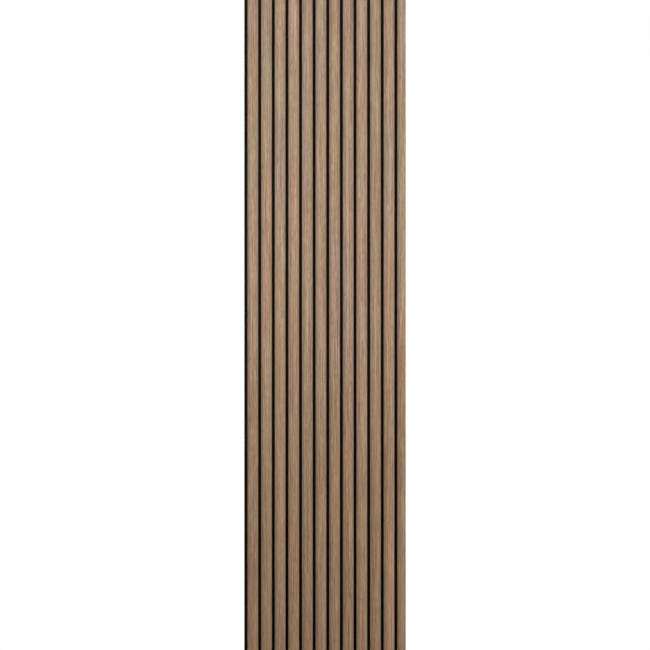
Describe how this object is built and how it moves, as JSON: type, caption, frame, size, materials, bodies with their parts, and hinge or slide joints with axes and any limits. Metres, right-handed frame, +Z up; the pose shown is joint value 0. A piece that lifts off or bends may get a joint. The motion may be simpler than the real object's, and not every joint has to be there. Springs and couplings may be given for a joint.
{
  "type": "acoustic slat wall panel",
  "caption": "Upright acoustic wall panel of crowned wood-veneered slats stapled to a black felt backing, with a bare felt lip along one side.",
  "frame": {"origin": "centre of the felt's back face, which lies on the wall", "axes": "+Z up along the slats, +Y into the wall, the room and the slats at -Y, the bare felt lip at -X"},
  "size_m": [0.6, 0.021, 2.44],
  "materials": {
    "veneer": "satin lacquered brown oak veneer, grain along the slat",
    "fibreboard": "raw cut fibreboard",
    "felt": "needle-punched black polyester felt",
    "steel": "galvanised flat wire"
  },
  "bodies": {
    "root": {"felt_backing": "felt", "slat_01_core": "fibreboard", "slat_01_veneer": "veneer", "slat_02_core": "fibreboard", "slat_02_veneer": "veneer", "slat_03_core": "fibreboard", "slat_03_veneer": "veneer", "slat_04_core": "fibreboard", "slat_04_veneer": "veneer", "slat_05_core": "fibreboard", "slat_05_veneer": "veneer", "slat_06_core": "fibreboard", "slat_06_veneer": "veneer", "slat_07_core": "fibreboard", "slat_07_veneer": "veneer", "slat_08_core": "fibreboard", "slat_08_veneer": "veneer", "slat_09_core": "fibreboard", "slat_09_veneer": "veneer", "slat_10_core": "fibreboard", "slat_10_veneer": "veneer", "slat_11_core": "fibreboard", "slat_11_veneer": "veneer", "slat_12_core": "fibreboard", "slat_12_veneer": "veneer", "staples": "steel"}
  },
  "joints": []
}
